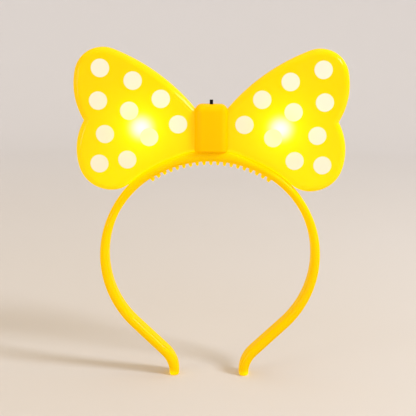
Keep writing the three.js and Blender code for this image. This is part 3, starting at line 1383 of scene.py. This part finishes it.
        # All but the seam moves between the rim's reach and the puffed face
        for vert in (vert for vert in bm.verts if -vert.co.y > self.land / 2):
            share = (-vert.co.y - self.land) / self.shoulder_rise
            land = self.land_at(vert.co)
            vert.co.y = -(land + (self.face_at(vert.co) - land) * share)
        sliced(bm, self.root_x, beyond=True)
        bmesh.ops.remove_doubles(bm, verts=bm.verts, dist=WELD)
        bmesh.ops.recalc_face_normals(bm, faces=bm.faces[:])
        return bm


@dataclass(frozen=True)
class Lamp:
    """A 5 mm lamp: a flange, a round body and a dome that faces the front."""

    radius: float = 2.5 * MM
    flange_radius: float = 2.9 * MM
    flange_high: float = 1 * MM
    sides: int = 40
    dome_steps: int = 10
    boss_radius: float = 4 * MM
    boss_rounding: float = 0.4 * MM

    def chip(self, side: Side) -> Vector:
        """The middle of the dome, where the light comes from."""
        low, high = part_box(f"led_{side.label}")
        return Vector(((low.x + high.x) / 2, low.y + self.radius, (low.z + high.z) / 2))

    def build(self, side: Side, finish: Material) -> None:
        """Builds the lamp where its CAD node is.

        Args:
            side: The wing that it lights.
            finish: The lamp's material.
        """
        node = f"led_{side.label}"
        low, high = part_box(node)
        bm = bmesh.new()
        pen = Pen(bm, Vector())
        pen.straight(self.flange_radius)
        pen.turn(90)
        pen.straight(self.flange_high)
        pen.turn(90)
        pen.straight(self.flange_radius - self.radius)
        pen.turn(-90)
        pen.straight(high.y - low.y - self.flange_high - self.radius)
        pen.arc(self.radius, 90, self.dome_steps)
        lathed(bm, self.sides)
        turned = facing_front((low.x + high.x) / 2, high.y, (low.z + high.z) / 2)
        bmesh.ops.transform(bm, matrix=turned, verts=bm.verts)
        placed(f"lamp_{side.label}", bm, finish, [node])


@dataclass(frozen=True)
class Dot:
    """A printed dot: a thin round film that follows the shell under it."""

    radius: float = 5.4 * MM
    sides: int = 56
    rings: int = 5
    lift: float = 0.1 * MM
    thickness: float = 0.08 * MM
    ray_start: float = -1.0

    def build(self, name: str, skin: BVHTree, side: Side, finish: Material) -> None:
        """Builds a dot where its CAD node is.

        Args:
            name: The CAD node's name.
            skin: The right front shell's skin.
            side: The wing that carries it.
            finish: The dot's material.
        """
        low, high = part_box(name)
        middle = (low + high) / 2
        bm = bmesh.new()
        turned = facing_front(abs(middle.x), 0.0, middle.z)
        bmesh.ops.create_circle(bm, cap_ends=True, segments=self.sides, radius=self.radius, matrix=turned)
        cap = bm.faces[:][0]
        for _ in range(self.rings - 1):
            bmesh.ops.inset_region(bm, faces=[cap], thickness=self.radius / self.rings, use_boundary=True)
        bmesh.ops.poke(bm, faces=[cap])
        for vert in bm.verts:
            start = Vector((vert.co.x, self.ray_start, vert.co.z))
            hit = skin.ray_cast(start, Vector(TO_BACK))[0]
            vert.co = hit - Vector((0.0, self.lift, 0.0))
        bmesh.ops.scale(bm, vec=(side.value, 1.0, 1.0), verts=bm.verts)
        under = verts_of(bmesh.ops.extrude_face_region(bm, geom=bm.faces[:])["geom"])
        bmesh.ops.translate(bm, vec=(0.0, self.thickness, 0.0), verts=under)
        placed(name.replace("dot", "printed_dot"), bm, finish, [name])


@dataclass(frozen=True)
class Wing:
    """One wing of the bow: two half shells, the lamp between them and the dots on its front."""

    side: Side
    shape: WingShape
    lamp: Lamp = Lamp()
    dot: Dot = Dot()
    dots: int = 10

    def _shell(self, face: Face, finish: Material) -> None:
        """Builds one half shell.

        Args:
            face: Which half.
            finish: The shell's material.
        """
        label = f"{self.side.label}_{face.name.lower()}"
        bm = self.shape.skin()
        bmesh.ops.scale(bm, vec=(self.side.value, -face.value, 1.0), verts=bm.verts)
        bmesh.ops.recalc_face_normals(bm, faces=bm.faces[:])
        bmesh.ops.solidify(bm, geom=bm.faces[:], thickness=self.shape.wall)
        if face is Face.BACK:
            self._add_boss(bm)
        piece = placed(f"shell_{label}", bm, finish, [f"wing_{label}"])
        eased(piece, self.shape.seam_rounding, self.shape.seam_angle)

    def _add_boss(self, bm: BMesh) -> None:
        """Adds the round boss that carries the lamp to a back shell.

        Args:
            bm: The shell's mesh.
        """
        low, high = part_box(f"led_{self.side.label}")
        centre = (low + high) / 2
        start = high.y + GAP
        end = self.shape.face_at(Vector((abs(centre.x), 0.0, centre.z))) - self.shape.wall / 2
        made = bmesh.ops.create_cone(
            bm,
            cap_ends=True,
            segments=self.lamp.sides,
            radius1=self.lamp.boss_radius,
            radius2=self.lamp.boss_radius,
            depth=end - start,
            matrix=facing_front(centre.x, (start + end) / 2, centre.z),
        )
        rounded(bm, crisp(edges_at(made["verts"])), self.lamp.boss_rounding)

    def build(self, shell: Material, ink: Material, resin: Material) -> None:
        """Builds the wing's pieces.

        Args:
            shell: Material of the shells.
            ink: Material of the dots.
            resin: Material of the lamp.
        """
        for face in Face:
            self._shell(face, shell)
        self.lamp.build(self.side, resin)
        bare = self.shape.skin()
        skin = BVHTree.FromBMesh(bare)
        bare.free()
        for number in range(1, self.dots + 1):
            self.dot.build(f"dot_{self.side.label}_{number:02d}", skin, self.side, ink)


@dataclass(frozen=True)
class Knot:
    """The rounded cap over the necks of the wings, with a slot in its roof for the switch."""

    shape: WingShape
    width: float = 19.9 * MM
    depth: float = 17.6 * MM
    high: float = 28.4 * MM
    up: float = 0.5 * MM
    rounding: float = 4.6 * MM
    base_rounding: float = 1.5 * MM
    segments: int = 10
    slot_wide: float = 2.6 * MM
    slot_long: float = 4.6 * MM
    slot_deep: float = 5 * MM
    clearance: float = 0.1 * MM
    rim_rounding: float = 0.3 * MM
    rim_angle: float = 50.0

    def _neck(self) -> BMesh:
        """Builds the section of the wings' necks, with clearance all round, as a bar along X.

        Returns:
            The bar.
        """
        bm = self.shape.skin()
        sliced(bm, self.width / 2 - self.rim_rounding, beyond=False)
        # The front half's section and its mirror image make one ring
        bmesh.ops.translate(bm, vec=(0.0, self.shape.seam, 0.0), verts=bm.verts)
        other = verts_of(bmesh.ops.duplicate(bm, geom=bm.verts[:] + bm.edges[:])["geom"])
        bmesh.ops.scale(bm, vec=(1.0, -1.0, 1.0), verts=other)
        bmesh.ops.remove_doubles(bm, verts=bm.verts, dist=WELD)
        face = filled(bm, bm.edges)
        centre = face.calc_center_bounds()
        wide, tall = (max(vert.co[axis] - centre[axis] for vert in bm.verts) for axis in (1, 2))
        grow = (1.0, 1 + self.clearance / wide, 1 + self.clearance / tall)
        bmesh.ops.scale(bm, vec=grow, verts=bm.verts, space=Matrix.Translation(-centre))
        far = verts_of(bmesh.ops.extrude_face_region(bm, geom=[face])["geom"])
        bmesh.ops.translate(bm, vec=(self.width / 2, 0.0, 0.0), verts=bm.verts)
        bmesh.ops.translate(bm, vec=(-2 * self.width, 0.0, 0.0), verts=far)
        return bm

    def _saddle(self) -> BMesh:
        """Builds the band's shape, with clearance all round, that the knot sits astride.

        Returns:
            The shape.
        """
        bm = bmesh.new()
        self.shape.band.sweep(bm)
        bmesh.ops.recalc_face_normals(bm, faces=bm.faces[:])
        bm.normal_update()
        for vert in bm.verts:
            vert.co += vert.normal * self.clearance
        return bm

    def build(self, finish: MouldedPlastic) -> None:
        """Builds the knot where its CAD node is.

        Args:
            finish: The knot's finish.
        """
        bottom = Vector((0.0, 0.0, self.shape.band.top + self.up))
        half = Vector((self.width / 2, self.depth / 2, 0.0))
        high = bottom + half + Vector((0.0, 0.0, self.high))
        bm = bmesh.new()
        block(bm, bottom - half, high)
        level = bottom.z + self.base_rounding
        upper = [edge for edge in bm.edges if max(vert.co.z for vert in edge.verts) > level]
        rounded(bm, upper, self.rounding, self.segments)
        base = [edge for edge in bm.edges if max(vert.co.z for vert in edge.verts) < level]
        rounded(bm, base, self.base_rounding, self.segments // 2)
        bm = carved(carved(bm, self._neck()), self._saddle())
        slot = bmesh.new()
        half = Vector((self.slot_wide / 2, self.slot_long / 2, self.slot_deep))
        roof = Vector((0.0, 0.0, high.z))
        block(slot, roof - half, roof + half)
        bm = carved(bm, slot)
        piece = placed("knot_cap", bm, finish.material(), ["knot"])
        eased(piece, self.rim_rounding, self.rim_angle)


@dataclass(frozen=True)
class SwitchNub:
    """The black nub of the slide switch on its foot, with grip grooves across its top."""

    wide: float = 2 * MM
    foot_high: float = 0.95 * MM
    rounding: float = 0.25 * MM
    groove: float = 0.16 * MM
    strips: int = 6

    def build(self, finish: SwitchPlastic) -> None:
        """Builds the nub where its CAD node is.

        Args:
            finish: The nub's finish.
        """
        low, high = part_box("switch_nub")
        middle = (low + high) / 2
        bm = bmesh.new()
        half = Vector((self.wide / 2, self.wide / 2, 0.0))
        seat = Vector((middle.x, middle.y, low.z + self.foot_high - self.rounding))
        nub = block(bm, seat - half, Vector((middle.x, middle.y, high.z)) + half)
        lengthwise = {edge: abs(edge.verts[0].co.y - edge.verts[1].co.y) for edge in edges_at(nub)}
        rungs = [edge for edge, run in lengthwise.items() if run > self.wide / 2]
        cuts = self.strips - 1
        split = bmesh.ops.subdivide_edges(bm, edges=rungs, cuts=cuts, use_grid_fill=True)["geom_inner"]
        lines = [vert for vert in verts_of(split) if vert.co.z > middle.z]
        # Every second line across the top goes down
        pitch = self.wide / self.strips
        grooves = [vert for vert in lines if round((vert.co.y - middle.y) / pitch) % 2 == 0]
        bmesh.ops.translate(bm, vec=(0.0, 0.0, -self.groove), verts=grooves)
        rounded(bm, crisp(bm.edges), self.groove / 2)
        foot = block(bm, low, Vector((high.x, high.y, low.z + self.foot_high)))
        rounded(bm, edges_at(foot), self.rounding)
        placed("switch_slider", bm, finish.material(), ["switch_nub"], Body.SWITCH)


@dataclass(frozen=True)
class SoftBox:
    """A square area light that faces a point on the object and that the camera doesn't see.

    Attributes:
        name: Name of the light.
        place: Where it is.
        size: Length of its sides in metres.
        power: Power in watts.
        colour: Colour, linear.
        target: The point that it faces.
    """

    name: str
    place: Triple
    size: float
    power: float
    colour: Colour
    target: Triple = (0.0, 0.0, 0.11)

    def build(self) -> None:
        """Adds the light to the scene."""
        data = bpy.data.lights.new(self.name, "AREA")
        data.size = self.size
        data.energy = self.power
        data.color = self.colour
        lamp = bpy.data.objects.new(self.name, data)
        lamp.visible_camera = False
        lamp.location = self.place
        aim = Vector(self.target) - Vector(self.place)
        lamp.rotation_euler = aim.to_track_quat("-Z", "Y").to_euler()
        bpy.context.scene.collection.objects.link(lamp)


@dataclass(frozen=True)
class PhotoCamera:
    """Camera at the photograph's viewing angle, for a square image.

    Attributes:
        image_px: Width of the photograph in pixels.
        focal_px: Focal length in those pixels.
        sensor: Width of the camera's sensor in millimetres.
        distance: Distance in front of the origin in metres.
        height: Height above the table in metres.
        pitch: How far it looks down, in degrees.
        sideways: Shift to the right in metres.
        roll: Turn about its line of sight, in degrees.
        clip_start: Distance from which it sees, in metres.
    """

    image_px: float = 416.0
    focal_px: float = 921.7
    sensor: float = 36.0
    distance: float = 0.5536
    height: float = 0.2126
    pitch: float = 10.88
    sideways: float = -0.0015
    roll: float = 0.5
    clip_start: float = 0.01

    def build(self) -> None:
        """Adds the camera and makes it the scene's own."""
        data = bpy.data.cameras.new("photo_camera")
        data.sensor_width = self.sensor
        data.lens = self.sensor * self.focal_px / self.image_px
        data.clip_start = self.clip_start
        camera = bpy.data.objects.new("photo_camera", data)
        camera.location = (self.sideways, -self.distance, self.height)
        tilt = Matrix.Rotation(math.radians(90.0 - self.pitch), 3, "X")
        camera.rotation_euler = (tilt @ Matrix.Rotation(math.radians(self.roll), 3, "Z")).to_euler()
        bpy.context.scene.collection.objects.link(camera)
        bpy.context.scene.camera = camera


@dataclass(frozen=True)
class Studio:
    """A pale floor that curves up into a round wall, soft lights, ambient light and the camera."""

    floor_radius: float = 1.1
    bend_radius: float = 0.6
    bend_steps: int = 20
    wall_high: float = 0.5
    sides: int = 96
    ambient: Colour = (1.12, 0.98, 0.78)
    ambient_strength: float = 0.75
    camera: PhotoCamera = PhotoCamera()
    lights: tuple[SoftBox, ...] = (
        SoftBox("key", (0.94, -0.47, 0.86), 0.3, 11.5, (0.86, 0.97, 1.14)),
        SoftBox("fill", (-0.95, -0.8, 0.24), 0.45, 3.6, (1.1, 1.0, 0.8)),
        SoftBox("overhead", (0.1, 0.1, 1.1), 0.9, 1.2, (1.1, 1.0, 0.8)),
    )

    def build(self, paint: StudioPaint) -> None:
        """Builds the studio.

        Args:
            paint: Finish of the floor and its wall.
        """
        bm = bmesh.new()
        pen = Pen(bm, Vector())
        pen.straight(self.floor_radius)
        pen.arc(self.bend_radius, 90, self.bend_steps)
        pen.straight(self.wall_high)
        lathed(bm, self.sides)
        floor = dressed("studio_floor", bm, paint.material())
        world = bpy.data.worlds.new("studio_air")
        world.use_nodes = True
        air = world.node_tree.nodes["Background"]
        air.inputs["Color"].default_value = (*self.ambient, 1.0)
        air.inputs["Strength"].default_value = self.ambient_strength
        bpy.context.scene.world = world
        for light in self.lights:
            light.build()
        self.camera.build()
        bpy.context.scene.view_settings.view_transform = "Standard"


def main() -> None:
    """Builds the pieces on the frame, dresses them and sets up the studio."""
    logging.basicConfig(level=logging.INFO, format="%(message)s")
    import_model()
    chip = Lamp().chip(Side.RIGHT)
    glow = LampGlow(chip)
    band = Headband()
    shape = WingShape(band)
    seat = SeatGlow(band.crown_centre, MM * shape.seat_radius, band.pad_rise, band.pad_reach)
    yellow = MouldedPlastic(
        "band_plastic",
        colour=(0.97, 0.605, 0.0),
        flow_colour=(0.97, 0.57, 0.0),
        coat=0.15,
        glows=(seat,),
    )
    shell = MouldedPlastic(
        "lit_shell_plastic",
        colour=(0.97, 0.635, 0.0),
        flow_colour=(0.97, 0.605, 0.0),
        roughness=0.34,
        glows=(glow, seat, SeamGlow(chip.z)),
    )
    amber = MouldedPlastic(
        "knot_plastic",
        colour=(0.97, 0.51, 0.0),
        flow_colour=(0.97, 0.48, 0.0),
        roughness=0.36,
        coat=0.1,
        glows=(glow,),
    )
    band.build(yellow)
    skins = shell.material()
    film = DotInk("dot_film", glow).material()
    resin = LampResin("lamp_resin", glow).material()
    for side in Side:
        Wing(side, shape).build(skins, film, resin)
    Knot(shape).build(amber)
    SwitchNub().build(SwitchPlastic("switch_plastic"))
    Studio().build(StudioPaint("studio_paint"))


if __name__ == "__main__":
    main()
